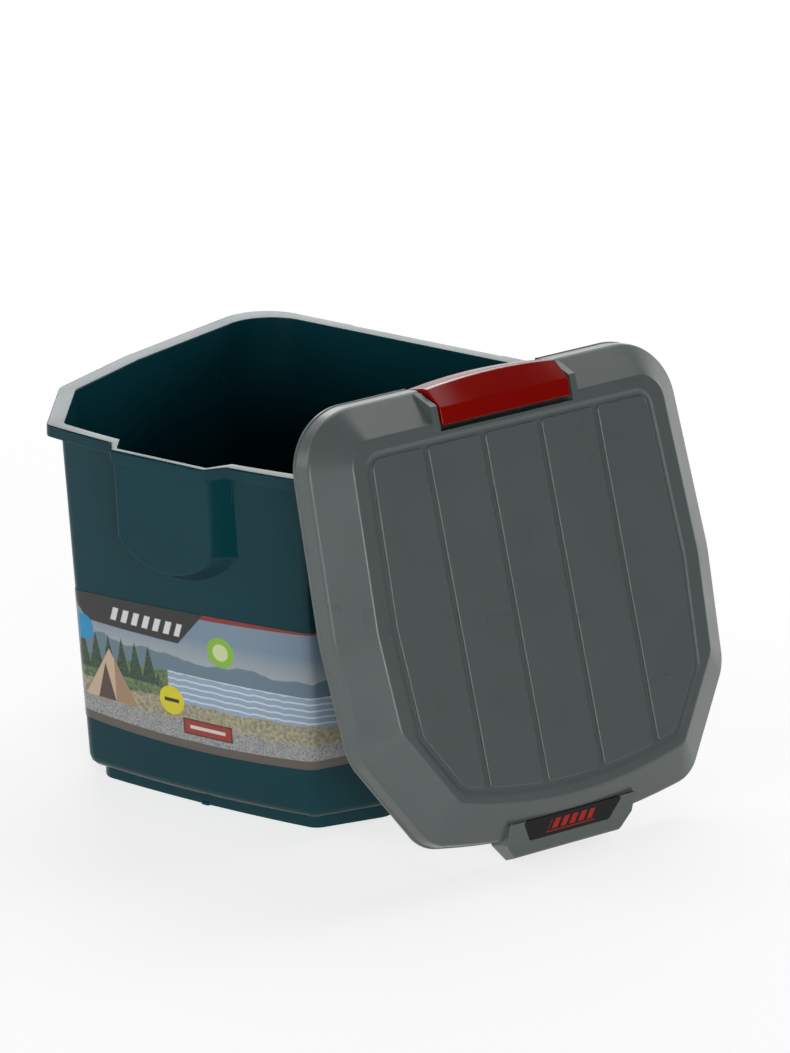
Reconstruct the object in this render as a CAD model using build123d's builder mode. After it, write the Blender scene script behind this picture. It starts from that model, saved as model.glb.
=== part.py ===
"""Lidded storage bucket: tapered bucket with a pour spout, a strong ribbed lid with a rear latch,
and a swinging bail. The bucket stands on the floor with its spout toward -Y. The lid has been taken
off: it stands on its front tab and leans on the bucket's right front shoulder. Millimetres, +Z up,
origin at the centre of the bucket's base."""

import os
from math import atan2, cos, degrees, radians, sin, sqrt, tan

from build123d import *

# Mouth of the bucket, seen from above, to the outer edge of its rim
front_half_width = 103.7
front_corner_y = -142.3
front_bow = 8.0
shoulder_half_width = 144.2
shoulder_y = -74.8
bend_half_width = 149.0
bend_y = 3.0
rear_half_width = 143.0
rear_y = 146.0

# Heights of the bucket
bucket_height = 253.0
foot_height = 10.0
floor_thickness = 3.0
base_recess = 2.0

# Rim: a flat flange with a skirt that turns down
rim_drop = 8.0
rim_thickness = 2.6
skirt_thickness = 2.2
rim_edge_chamfer = 0.6
joint_overlap = 2.0

# Wall: how far each side stands in from the rim's edge, at the rim and at the foot
wall_thickness = 2.4
wall_top_insets = dict(front=6.5, chamfer=9.0, side=10.0, rear=9.0)
wall_low_insets = dict(front=23.5, chamfer=22.5, side=23.0, rear=22.0)
wall_low_bow = 6.0
wall_low_round = 7.5
top_radii = dict(front_radius=8.0, shoulder_round=12.0, rear_radius=36.0)
low_radii = dict(front_radius=12.0, shoulder_round=16.0, rear_radius=36.0)
foot_radii = dict(front_radius=12.0, shoulder_round=16.0, rear_radius=28.0)
foot_step = 9.5
foot_bow = 4.0
foot_ring_width = 7.0
foot_chamfer = 0.8
base_rib_width = 6.0

# Pour spout: a shield-shaped bulge in the middle of the front wall
spout_lip_half_width = 46.5
spout_face_half_width = 37.3
spout_lip_y = -161.0
spout_bulge = 15.5
spout_overhang = 3.0
spout_straight_depth = 65.0
spout_depth = 89.0

# Gap in the rear rim's skirt, where the latch hooks under the flange
hook_notch_half_width = 61.0
hook_notch_depth = 1.0

# Lid in its own frame: closed position, z = 0 at the bottom of its skirt
lid_rim_clearance = 0.5
lid_skirt_thickness = 1.9
lid_skirt_lean = 0.8
lid_seat_height = 7.5
lid_shoulder_height = 18.2
lid_shoulder_round = 3.2
lid_plateau_height = 34.7
lid_plateau_inset = 21.0
lid_wall = 2.4
panel_insets = dict(front=34.5, chamfer=35.0, side=37.3, rear=37.0)
panel_raise = 1.0
panel_corner_radius = 6.0
border_groove_width = 4.5
border_groove_depth = 1.1
plank_count = 5
plank_pitch = 45.0
plank_groove_width = 4.0
lid_rib_bottom = 1.0
lid_rib_thickness = 2.0
lid_rib_columns = 5
lid_rib_column_pitch = 54.0
lid_rib_rows = 6
lid_rib_row_pitch = 43.0
lid_rib_middle_y = 5.5
plug_ring_inset = 14.0

# Front tab of the lid, over the spout, with the recess for its plate
tab_half_width = 41.0
tab_root_half_width = 50.5
tab_front_y = -164.2
tab_root_y = -152.0
tab_nose_height = 9.5
tab_nose_lean = 1.2
tab_nose_round = Vector(0, 3.3, 4.4)
tab_slope_low = Vector(0, -153.0, 17.6)
tab_slope_high = Vector(0, -139.0, 26.6)
badge_low_half_width = 31.7
badge_high_half_width = 39.7
badge_recess = 0.6
badge_thickness = 0.9
badge_gap = 0.25
badge_seat_gap = 0.05
badge_corner_radius = 2.0

# Latch at the middle of the lid's rear edge
latch_half_width = 51.0
latch_side_gap = 1.5
latch_well_y = 119.8
latch_well_floor = 16.0
latch_lip_y = 123.4
latch_thickness = 3.0
latch_rise = 0.6
latch_back_gap = 1.8
latch_crown_y = 131.0
latch_bulge = Vector(0, 143.0, 30.2)
latch_knee_z = 19.0
latch_pivot_y = 134.0
latch_pivot_z = 27.0
latch_pin_radius = 2.6
latch_pin_clearance = 0.15
latch_pin_length = 4.3
housing_thickness = 5.0
housing_brow = Vector(0, 136.5, lid_plateau_height)
housing_chin = Vector(0, 145.5, 19.0)
latch_cheek_thickness = 2.5
latch_edge_fillet = 0.9
hook_clearance = 0.4
hook_thickness = 3.2
hook_reach = 2.1

# Bail: flat arms with eyes at the sides, and a thick grip
bail_pivot_y = bend_y
bail_pivot_z = 231.0
bail_arm_clearance = 0.8
bail_arm_thickness = 3.2
bail_arm_width = 13.0
bail_reach = 160.0
bail_corner_radius = 46.0
bail_eye_radius = 10.0
bail_eye_length = 24.0
bail_pin_radius = 5.0
bail_pin_clearance = 0.15
bail_boss_radius = 9.5
bail_boss_gap = 0.4
bail_pin_length = 8.0
grip_length = 118.0
grip_width = 24.0
grip_depth = 17.0
grip_end_chamfer = 2.5
bail_wall_gap = 0.3

# Printed sheet round the front of the bucket
label_thickness = 0.35
label_gap = 0.05
label_end_y = -79.0
label_low_z = 47.0
label_low_sag = 3.5
label_high_left_z = 135.5
label_high_right_z = 143.0
label_high_rise = 2.5
label_half_span = 105.0
label_wrap = 40.0

# How the lid leans: turned about the vertical, tilted up, and rolled in its own plane
lean_turn = 70.2
lean_tilt = 73.0
lean_roll = 0.5
lean_along = 33.0
floor_gap = 0.3
lean_gap = 0.1


def crossing(point_a, along_a, point_b, along_b):
    """Point where two lines in the plan meet."""
    between = point_b - point_a
    spread = along_a.X * along_b.Y - along_a.Y * along_b.X
    return point_a + along_a * ((between.X * along_b.Y - between.Y * along_b.X) / spread)


def plan_corners(front=0.0, chamfer=0.0, side=0.0, rear=0.0):
    """Right-hand corners of the plan, front to rear, with each edge moved in by its own inset."""
    points = [
        Vector(-front_half_width, front_corner_y),
        Vector(front_half_width, front_corner_y),
        Vector(shoulder_half_width, shoulder_y),
        Vector(bend_half_width, bend_y),
        Vector(rear_half_width, rear_y),
        Vector(-rear_half_width, rear_y),
    ]
    edges = []
    for start, end, inset in zip(points, points[1:], (front, chamfer, side, side, rear)):
        along = (end - start).normalized()
        inward = Vector(-along.Y, along.X)
        edges.append((start + inward * inset, along))
    return [crossing(*first, *second) for first, second in zip(edges, edges[1:])]


def plan_outline(z, insets, bow, front_radius, shoulder_round, rear_radius):
    """Mouth-shaped face at height z: bowed front, two chamfers, gently bent sides, round rear corners."""
    right = plan_corners(**insets)
    left = [Vector(-corner.X, corner.Y) for corner in reversed(right)]
    with BuildSketch(Plane.XY.offset(z)) as outline:
        with BuildLine():
            ThreePointArc(left[-1], (0, right[0].Y - bow), right[0])
            Polyline(*right, *left)
        make_face()
        for corners, radius in (
            ((right[0], left[-1]), front_radius),
            ((right[1], left[-2]), shoulder_round),
            ((right[3], left[0]), rear_radius),
        ):
            for corner in corners:
                fillet(outline.vertices().sort_by_distance(corner)[0], radius)
    return outline.sketch


def rim_outline(z, inset, bow=front_bow):
    """The rim's own outline moved in, or out when the inset is negative, by one amount all round."""
    insets = dict(front=inset, chamfer=inset, side=inset, rear=inset)
    return plan_outline(
        z,
        insets,
        bow,
        **{name: max(radius - inset, 2.0) for name, radius in top_radii.items()},
    )


def moved_in(insets, amount):
    """A set of insets with the same amount added to each."""
    return {name: value + amount for name, value in insets.items()}


def wall_outline(z, amount):
    """Outline of the bucket's wall at height z, moved in by an amount."""
    share = (bucket_height - z) / (bucket_height - foot_height)
    insets = {
        name: wall_top_insets[name] + (wall_low_insets[name] - wall_top_insets[name]) * share + amount
        for name in wall_top_insets
    }
    bow = front_bow + (wall_low_bow - front_bow) * share
    radii = {
        name: max(top_radii[name] + (low_radii[name] - top_radii[name]) * share - amount, 2.0)
        for name in top_radii
    }
    return plan_outline(z, insets, bow, **radii)


def foot_outline(z, amount):
    """Outline of the stepped-in foot, moved in by an amount."""
    radii = {name: value - amount * 0.5 for name, value in foot_radii.items()}
    return plan_outline(z, moved_in(wall_low_insets, foot_step + amount), foot_bow, **radii)


# Wall: a tapered shell with a rounded lower edge
with BuildPart() as wall_form:
    low_levels = [
        (foot_height + wall_low_round * (1 - cos(radians(turn))), wall_low_round * (1 - sin(radians(turn))))
        for turn in (0, 30, 60, 90)
    ]
    loft([wall_outline(z, inset) for z, inset in (*low_levels, (bucket_height, 0))], ruled=True)

with BuildPart() as wall_hollow:
    hollow_floor = wall_outline(foot_height + floor_thickness, wall_thickness)
    hollow_mouth = wall_outline(bucket_height + rim_thickness, wall_thickness)
    loft([hollow_floor, hollow_mouth], ruled=True)

# Spout: the bulge leans with the front wall
wall_drop = bucket_height - foot_height
spout_wall_lean = degrees(atan2(wall_low_insets["front"] - wall_top_insets["front"], wall_drop))
spout_top_y = spout_lip_y + spout_overhang
spout_plane = Plane(
    origin=(0, spout_top_y + spout_bulge, bucket_height),
    x_dir=(1, 0, 0),
    z_dir=(0, -cos(radians(spout_wall_lean)), -sin(radians(spout_wall_lean))),
)
spout_flank_run = spout_lip_half_width - spout_face_half_width
spout_taper = degrees(atan2(spout_flank_run, spout_bulge))
spout_root_depth = 8.0
spout_hollow_depth = 12.0
spout_over_top = 20.0


def spout_bulge_form(inward, start):
    """Shield-shaped bulge, its skin moved in by an amount, from a depth behind the wall to its face."""
    grow = tan(radians(spout_taper)) * start - inward / cos(radians(spout_taper))
    half_width = spout_lip_half_width + grow
    with BuildPart() as bulge:
        with BuildSketch(spout_plane.offset(-start)):
            with BuildLine():
                Line((half_width, spout_over_top), (-half_width, spout_over_top))
                Line((-half_width, spout_over_top), (-half_width, -spout_straight_depth))
                ThreePointArc(
                    (-half_width, -spout_straight_depth),
                    (0, -spout_depth - grow),
                    (half_width, -spout_straight_depth),
                )
                Line((half_width, -spout_straight_depth), (half_width, spout_over_top))
            make_face()
        extrude(amount=start + spout_bulge - inward, taper=spout_taper)
    return bulge.part


with BuildPart() as spout_form:
    add(spout_bulge_form(0.0, spout_root_depth))
    split(bisect_by=Plane.XY.offset(bucket_height), keep=Keep.BOTTOM)

with BuildPart() as spout_hollow:
    add(spout_bulge_form(wall_thickness, spout_hollow_depth))


def spout_lip_outline(z):
    """Trapezoid that the rim follows round the spout."""
    flank_y = front_corner_y - front_bow * 0.75
    with BuildSketch(Plane.XY.offset(z)) as outline:
        with BuildLine():
            Polyline(
                (spout_lip_half_width, front_corner_y),
                (spout_lip_half_width, flank_y),
                (spout_face_half_width, spout_lip_y),
                (-spout_face_half_width, spout_lip_y),
                (-spout_lip_half_width, flank_y),
                (-spout_lip_half_width, front_corner_y),
                close=True,
            )
        make_face()
    return outline.sketch


# Rim: flange, down-turned skirt and the hollow between skirt and wall
with BuildPart() as rim_form:
    skirt_low_z = bucket_height - rim_drop
    extrude(rim_outline(skirt_low_z, 0), amount=rim_drop)
    extrude(rim_outline(skirt_low_z, skirt_thickness), amount=rim_drop - rim_thickness, mode=Mode.SUBTRACT)
    extrude(spout_lip_outline(skirt_low_z), amount=rim_drop)
    with Locations((0, rear_y, bucket_height - rim_drop / 2)):
        Box(2 * hook_notch_half_width, 2 * hook_notch_depth, 2 * rim_drop, mode=Mode.SUBTRACT)
    with Locations((0, rear_y, bucket_height - rim_thickness - rim_drop / 2)):
        Box(2 * hook_notch_half_width, 2 * rim_thickness, rim_drop, mode=Mode.SUBTRACT)
    rim_top_edges = rim_form.faces().sort_by(Axis.Z)[-1].outer_wire().edges()
    chamfer(rim_top_edges.filter_by(lambda edge: edge.length > 2 * hook_notch_depth), rim_edge_chamfer)

# Base: the foot's ring and ribs, with the recess between them
with BuildPart() as foot_form:
    extrude(foot_outline(0, 0), amount=foot_height + joint_overlap)
    chamfer(foot_form.edges().group_by(Axis.Z)[0], foot_chamfer)
    extrude(foot_outline(0, foot_ring_width), amount=base_recess, mode=Mode.SUBTRACT)
    with Locations((0, 0, base_recess / 2)):
        Box(2 * (rear_half_width - wall_low_insets["side"] - foot_step), base_rib_width, base_recess)
        Box(base_rib_width, 2 * (rear_y - wall_low_insets["rear"] - foot_step), base_recess)

with BuildPart() as foot_hollow:
    extrude(foot_outline(base_recess + floor_thickness, wall_thickness), amount=foot_height)

# Bosses that carry the bail at the sides
boss_root_x = bend_half_width - wall_top_insets["side"] - 2 * joint_overlap
bail_boss_end_x = bend_half_width + bail_arm_clearance - bail_boss_gap

with BuildPart() as bail_bosses:
    with BuildSketch(Plane.YZ.offset(boss_root_x)):
        with Locations((bail_pivot_y, bail_pivot_z)):
            Circle(bail_boss_radius)
    extrude(amount=bail_boss_end_x - boss_root_x)
    mirror(about=Plane.YZ)

with BuildPart() as bail_bores:
    with BuildSketch(Plane.YZ.offset(bail_boss_end_x)):
        with Locations((bail_pivot_y, bail_pivot_z)):
            Circle(bail_pin_radius + bail_pin_clearance)
    extrude(amount=-(bail_pin_length + bail_pin_clearance))
    mirror(about=Plane.YZ)

with BuildPart() as bucket_body:
    add(wall_form.part)
    add(rim_form.part)
    add(spout_form.part)
    add(foot_form.part)
    add(bail_bosses.part)
    add(wall_hollow.part, mode=Mode.SUBTRACT)
    add(spout_hollow.part, mode=Mode.SUBTRACT)
    add(foot_hollow.part, mode=Mode.SUBTRACT)
    add(bail_bores.part, mode=Mode.SUBTRACT)
bucket_body.part.label = "bucket_body"

# Printed sheet: follows the wall over the front and both chamfers
with BuildPart() as label_band:
    loft([wall_outline(z, -label_gap - label_thickness) for z in (foot_height, bucket_height)], ruled=True)
    loft([wall_outline(z, -label_gap) for z in (foot_height, bucket_height)], ruled=True, mode=Mode.SUBTRACT)
    middle_z = (label_high_left_z + label_high_right_z) / 2
    with BuildSketch(Plane.XZ.offset(-label_end_y)):
        with BuildLine():
            low_left = Vector(-label_half_span, label_low_z)
            low_right = Vector(label_half_span, label_low_z)
            high_left = Vector(-label_half_span, label_high_left_z)
            high_right = Vector(label_half_span, label_high_right_z)
            wrap = Vector(label_wrap, 0)
            ThreePointArc(low_left, (0, label_low_z - label_low_sag), low_right)
            Polyline(low_right, low_right + wrap, high_right + wrap, high_right)
            ThreePointArc(high_right, (0, middle_z + label_high_rise), high_left)
            Polyline(high_left, high_left - wrap, low_left - wrap, low_left)
        make_face()
    extrude(amount=-front_corner_y, mode=Mode.INTERSECT)
label_band.part.label = "label_band"

# Lid, modelled flat
lid_edge_inset = -lid_rim_clearance - lid_skirt_thickness
shoulder_inset = lid_edge_inset + lid_skirt_lean + lid_shoulder_round
shoulder_low_z = lid_shoulder_height - lid_shoulder_round
tab_slope_angle = degrees(atan2(tab_slope_high.Z - tab_slope_low.Z, tab_slope_high.Y - tab_slope_low.Y))
tab_plane = Plane(
    origin=tab_slope_low,
    x_dir=(1, 0, 0),
    z_dir=(0, -sin(radians(tab_slope_angle)), cos(radians(tab_slope_angle))),
)
badge_length = (tab_slope_high - tab_slope_low).length


def lid_skin(levels):
    """Closed form through a list of heights and insets: skirt, round shoulder and sloping frame."""
    outlines = [rim_outline(z, inset) for z, inset in levels]
    with BuildPart() as skin:
        for low, high in zip(outlines, outlines[1:]):
            loft([low, high], ruled=True)
    return skin.part


def panel_outline(insets, corner_radius):
    """Outline of the planked panel, which follows the lid's own outline."""
    return plan_outline(0, insets, front_bow, corner_radius, corner_radius, corner_radius)


def tab_block(amount):
    """Tab over the spout: a trapezoid in plan, sloping and then rounding down, moved in by an amount."""
    root_half_width = tab_root_half_width - amount
    half_width = tab_half_width - amount
    front_y = tab_front_y + amount
    back_y = tab_slope_high.Y
    top_drop = amount / cos(radians(tab_slope_angle))
    with BuildPart() as block:
        with BuildSketch(Plane.YZ.offset(-root_half_width)):
            with BuildLine():
                Polyline((back_y, 0), (front_y, 0), (front_y + tab_nose_lean, tab_nose_height - top_drop))
                ThreePointArc(
                    (front_y + tab_nose_lean, tab_nose_height - top_drop),
                    (front_y + tab_nose_round.Y, tab_nose_height + tab_nose_round.Z - top_drop),
                    (tab_slope_low.Y, tab_slope_low.Z - top_drop),
                )
                Polyline(
                    (tab_slope_low.Y, tab_slope_low.Z - top_drop),
                    (back_y, tab_slope_high.Z - top_drop),
                    (back_y, 0),
                )
            make_face()
        extrude(amount=2 * root_half_width)
        with BuildSketch(Plane.XY):
            with BuildLine():
                Polyline(
                    (root_half_width, back_y),
                    (root_half_width, tab_root_y),
                    (half_width, front_y),
                    (-half_width, front_y),
                    (-root_half_width, tab_root_y),
                    (-root_half_width, back_y),
                    close=True,
                )
            make_face()
        extrude(amount=lid_plateau_height, mode=Mode.INTERSECT)
    return block.part


def badge_outline(plane, grow):
    """Trapezoid for the plate on the tab, in the plane of the tab's slope."""
    with BuildSketch(plane) as outline:
        with BuildLine():
            Polyline(
                (badge_low_half_width + grow, -grow),
                (badge_high_half_width + grow, badge_length + grow),
                (-badge_high_half_width - grow, badge_length + grow),
                (-badge_low_half_width - grow, -grow),
                close=True,
            )
        make_face()
        fillet(outline.vertices(), badge_corner_radius)
    return outline.sketch


def box_between(low, high, mode=Mode.ADD):
    """Box from one corner to the opposite one."""
    size = Vector(*high) - Vector(*low)
    with Locations((Vector(*low) + Vector(*high)) / 2):
        return Box(size.X, size.Y, size.Z, mode=mode)


latch_well_half_width = latch_half_width + latch_side_gap
lid_rear_y = rear_y - lid_edge_inset
latch_back_y = lid_rear_y - latch_thickness - latch_back_gap
well_wall_half_width = latch_well_half_width + housing_thickness
beyond_y = lid_rear_y + 20.0
beyond_span = 2 * (bend_half_width + 30.0)

# Lattice of ribs under the lid, and a ring that drops inside the bucket's mouth
with BuildPart() as lid_lattice:
    with BuildSketch(Plane.XY.offset(lid_rib_bottom)):
        add(rim_outline(0, plug_ring_inset))
        add(rim_outline(0, plug_ring_inset + lid_rib_thickness), mode=Mode.SUBTRACT)
        with GridLocations(lid_rib_column_pitch, 0, lid_rib_columns, 1):
            Rectangle(lid_rib_thickness, beyond_span)
        with Locations((0, lid_rib_middle_y)):
            with GridLocations(0, lid_rib_row_pitch, 1, lid_rib_rows):
                Rectangle(beyond_span, lid_rib_thickness)
    extrude(amount=lid_plateau_height)
    with BuildSketch(Plane.XY):
        Rectangle(beyond_span, beyond_span)
        add(rim_outline(0, plug_ring_inset), mode=Mode.SUBTRACT)
    extrude(amount=lid_seat_height, mode=Mode.SUBTRACT)

# Everything under the lid that is open: between the ribs, and not in the walls round the latch's well
with BuildPart() as lid_hollow:
    add(
        lid_skin(
            [
                (0, -lid_rim_clearance),
                (shoulder_low_z - lid_wall * 0.3, lid_skirt_lean - lid_rim_clearance),
                (lid_shoulder_height - lid_wall * 0.7, shoulder_inset + lid_wall * 0.6),
                (lid_plateau_height - lid_wall, lid_plateau_inset + lid_wall * 0.4),
            ]
        )
    )
    add(tab_block(lid_wall * 0.9))
    box_between(
        (-well_wall_half_width, latch_well_y - lid_wall, latch_well_floor - lid_wall),
        (well_wall_half_width, beyond_y, lid_plateau_height),
        Mode.SUBTRACT,
    )
    box_between(
        (-well_wall_half_width, latch_back_y - lid_wall, lid_seat_height + lid_rim_clearance),
        (well_wall_half_width, beyond_y, lid_plateau_height),
        Mode.SUBTRACT,
    )
    add(lid_lattice.part, mode=Mode.SUBTRACT)

with BuildPart() as lid_flat:
    add(
        lid_skin(
            [
                (0, lid_edge_inset),
                (shoulder_low_z, lid_edge_inset + lid_skirt_lean),
                (lid_shoulder_height, shoulder_inset),
                (lid_plateau_height, lid_plateau_inset),
            ]
        )
    )
    # The planked panel stands a little proud, inside a shallow groove
    groove_insets = moved_in(panel_insets, -border_groove_width)
    with BuildSketch(Plane.XY.offset(lid_plateau_height)):
        add(panel_outline(groove_insets, panel_corner_radius + border_groove_width))
    extrude(amount=-border_groove_depth, mode=Mode.SUBTRACT)
    with BuildSketch(Plane.XY.offset(lid_plateau_height - border_groove_depth)):
        add(panel_outline(panel_insets, panel_corner_radius))
        with GridLocations(plank_pitch, 0, plank_count - 1, 1):
            Rectangle(plank_groove_width, 2 * rear_y, mode=Mode.SUBTRACT)
    extrude(amount=border_groove_depth + panel_raise)
    add(tab_block(0.0))
    # Housings that carry the latch: level with the plateau, then sloping down to the rear
    with BuildSketch(Plane.YZ.offset(-latch_well_half_width - housing_thickness)):
        with BuildLine():
            Polyline(
                (latch_well_y, latch_well_floor),
                (latch_well_y, lid_plateau_height),
                (housing_brow.Y, housing_brow.Z),
                (housing_chin.Y, housing_chin.Z),
                (housing_chin.Y, latch_well_floor),
                close=True,
            )
        make_face()
    extrude(amount=2 * (latch_well_half_width + housing_thickness))
    box_between(
        (-latch_well_half_width, latch_well_y, latch_well_floor),
        (latch_well_half_width, beyond_y, 2 * lid_plateau_height),
        Mode.SUBTRACT,
    )
    box_between(
        (-latch_well_half_width, latch_back_y, -lid_plateau_height),
        (latch_well_half_width, beyond_y, 2 * lid_plateau_height),
        Mode.SUBTRACT,
    )
    add(lid_hollow.part, mode=Mode.SUBTRACT)
    with Locations((0, latch_pivot_y, latch_pivot_z)):
        Cylinder(
            latch_pin_radius + latch_pin_clearance,
            2 * (latch_half_width + latch_pin_length + 2 * latch_pin_clearance),
            rotation=(0, 90, 0),
            mode=Mode.SUBTRACT,
        )
    extrude(badge_outline(tab_plane, badge_gap), amount=-badge_recess, mode=Mode.SUBTRACT)

# Plate on the tab
with BuildPart() as badge_flat:
    extrude(badge_outline(tab_plane.offset(badge_seat_gap - badge_recess), 0), amount=badge_thickness)

# Latch: a curved cover that runs down over the rear edge and hooks under the rim, with two cheeks
hook_top_z = lid_seat_height - rim_thickness - hook_clearance
hook_low_z = hook_top_z - hook_thickness
latch_top_z = lid_plateau_height + latch_rise
cover_outer_y = lid_rear_y - 0.2
cover_inner_y = cover_outer_y - latch_thickness
hook_tip_y = rear_y - hook_notch_depth - hook_reach
crown = Vector(0, latch_crown_y, latch_top_z + 0.2)
bulge_inward = latch_thickness * cos(radians(45))
with BuildPart() as latch_flat:
    with BuildSketch(Plane.YZ.offset(-latch_half_width)):
        with BuildLine():
            Polyline((latch_lip_y, latch_top_z), (crown.Y, crown.Z))
            ThreePointArc((crown.Y, crown.Z), (latch_bulge.Y, latch_bulge.Z), (cover_outer_y, latch_knee_z))
            Polyline(
                (cover_outer_y, latch_knee_z),
                (cover_outer_y, hook_low_z),
                (hook_tip_y, hook_low_z),
                (hook_tip_y, hook_top_z),
                (cover_inner_y, hook_top_z),
                (cover_inner_y, latch_knee_z),
            )
            ThreePointArc(
                (cover_inner_y, latch_knee_z),
                (latch_bulge.Y - bulge_inward, latch_bulge.Z - bulge_inward),
                (crown.Y, crown.Z - latch_thickness),
            )
            Polyline(
                (crown.Y, crown.Z - latch_thickness),
                (latch_lip_y, latch_top_z - latch_thickness),
                (latch_lip_y, latch_top_z),
            )
        make_face()
    extrude(amount=2 * latch_half_width)
    with BuildSketch(Plane.YZ.offset(latch_half_width)) as cheek:
        with BuildLine():
            Polyline(
                (latch_lip_y + latch_cheek_thickness, latch_top_z - latch_thickness / 2),
                (latch_pivot_y - 2 * latch_pin_radius, latch_pivot_z - 2 * latch_pin_radius),
                (latch_pivot_y + 2 * latch_pin_radius, latch_pivot_z - 2 * latch_pin_radius),
                (cover_inner_y + latch_thickness / 2, latch_knee_z),
                (latch_bulge.Y - bulge_inward / 2, latch_bulge.Z - bulge_inward / 2),
                (crown.Y, crown.Z - latch_thickness / 2),
                close=True,
            )
        make_face()
    extrude(amount=-latch_cheek_thickness)
    with BuildSketch(Plane.YZ.offset(latch_half_width - latch_cheek_thickness)):
        with Locations((latch_pivot_y, latch_pivot_z)):
            Circle(latch_pin_radius)
    extrude(amount=latch_cheek_thickness + latch_pin_length)
    mirror(about=Plane.YZ)
    cover_edges = latch_flat.edges().filter_by(Axis.X).group_by(SortBy.LENGTH)[-1]
    fillet(cover_edges.sort_by(Axis.Z)[-2:], latch_edge_fillet)

# Bail, modelled reaching straight back from its pivots
bail_side_lean = degrees(atan2(bend_half_width - rear_half_width, rear_y - bend_y))
arm_inner_x = bend_half_width + bail_arm_clearance
arm_outer_x = arm_inner_x + bail_arm_thickness
strap_back_y = bail_reach + bail_arm_thickness / 2
arm_drift = tan(radians(bail_side_lean))


def bail_plan(amount):
    """Closed plan of the bail's outer side, moved in by an amount; y is the distance from the pivots."""
    eye_x = arm_outer_x - amount
    back_y = strap_back_y - amount
    front_y = -2 * bail_eye_radius
    bend_end = 2 * bail_eye_length
    with BuildSketch() as outline:
        with BuildLine():
            Polyline(
                (-eye_x, front_y),
                (-eye_x, bail_eye_length),
                (-eye_x + arm_drift * bend_end, bend_end),
                (-eye_x + arm_drift * back_y, back_y),
                (eye_x - arm_drift * back_y, back_y),
                (eye_x - arm_drift * bend_end, bend_end),
                (eye_x, bail_eye_length),
                (eye_x, front_y),
                close=True,
            )
        make_face()
        fillet(outline.vertices().group_by(Axis.Y)[-1], bail_corner_radius - amount)
    return outline.sketch


with BuildPart() as bail_flat:
    with BuildSketch(Plane.XY.offset(-bail_arm_width / 2)):
        add(bail_plan(0.0))
        add(bail_plan(bail_arm_thickness), mode=Mode.SUBTRACT)
        with Locations((0, -bail_reach / 2)):
            Rectangle(beyond_span, bail_reach, mode=Mode.SUBTRACT)
    extrude(amount=bail_arm_width)
    # Round eyes and the pins that snap into the bucket's bosses
    with BuildSketch(Plane.YZ.offset(arm_inner_x)):
        Circle(bail_eye_radius)
    extrude(amount=bail_arm_thickness)
    with BuildSketch(Plane.YZ.offset(arm_inner_x)):
        Circle(bail_pin_radius)
    extrude(amount=-bail_pin_length)
    mirror(about=Plane.YZ)
    # Grip: an oval bar with rounded ends on the strap's back
    with BuildSketch(Plane.YZ.offset(-grip_length / 2)):
        with Locations((bail_reach, 0)):
            Ellipse(grip_depth / 2, grip_width / 2)
    extrude(amount=grip_length)
    grip_ends = bail_flat.edges().filter_by(GeomType.ELLIPSE)
    chamfer(grip_ends, grip_end_chamfer)


def grip_gap(drop):
    """Gap between the grip's oval and the rear wall when the arms point this far below level."""
    centre_y = bail_pivot_y + bail_reach * cos(radians(drop))
    centre_z = bail_pivot_z - bail_reach * sin(radians(drop))
    share = (bucket_height - centre_z) / wall_drop
    wall_y = rear_y - wall_top_insets["rear"] - (wall_low_insets["rear"] - wall_top_insets["rear"]) * share
    across = grip_depth / 2 * cos(radians(drop - wall_rear_lean))
    along = grip_width / 2 * sin(radians(drop - wall_rear_lean))
    return (centre_y - wall_y) * cos(radians(wall_rear_lean)) - sqrt(across**2 + along**2)


# The bail hangs down behind the bucket until its grip meets the rear wall
wall_rear_lean = degrees(atan2(wall_low_insets["rear"] - wall_top_insets["rear"], wall_drop))
bail_drop, bail_too_low = 0.0, 80.0
while bail_too_low - bail_drop > 0.001:
    middle_drop = (bail_drop + bail_too_low) / 2
    if grip_gap(middle_drop) > bail_wall_gap:
        bail_drop = middle_drop
    else:
        bail_too_low = middle_drop
bail_place = Location((0, bail_pivot_y, bail_pivot_z)) * Rotation(-bail_drop, 0, 0)

# The lid stands on its lowest point and its lattice rests on the outermost point of the rim
lean_turned = Rotation(0, 0, lean_turn) * Rotation(lean_tilt, 0, 0) * Rotation(0, 0, lean_roll)
lid_low_z = lid_flat.part.moved(lean_turned).bounding_box().min.Z
level_along = Vector(cos(radians(lean_turn)), sin(radians(lean_turn)))
level_outward = Vector(sin(radians(lean_turn)), -cos(radians(lean_turn)))
rim_reach = max(
    level_outward.dot(edge.position_at(share / 8))
    for edge in rim_outline(0, 0).edges()
    for share in range(9)
)
lean_z = floor_gap - lid_low_z
lean_out = rim_reach + (
    cos(radians(lean_tilt)) * (bucket_height - lean_z) - lid_rib_bottom + lean_gap
) / sin(radians(lean_tilt))
lean_centre = level_along * lean_along + level_outward * lean_out + Vector(0, 0, lean_z)
lean_place = Location(lean_centre) * lean_turned

lid = lid_flat.part.moved(lean_place)
lid.label = "lid"
lid_latch = latch_flat.part.moved(lean_place)
lid_latch.label = "lid_latch"
badge_plate = badge_flat.part.moved(lean_place)
badge_plate.label = "badge_plate"
bail_handle = bail_flat.part.moved(bail_place)
bail_handle.label = "bail_handle"

os.makedirs("parts", exist_ok=True)
for piece in (bucket_body.part, label_band.part, lid, lid_latch, badge_plate, bail_handle):
    export_step(piece, f"parts/{piece.label}.step")
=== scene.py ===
"""Looks of a lidded storage bucket. It is laid out as an add-on and is run as a script."""

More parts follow.
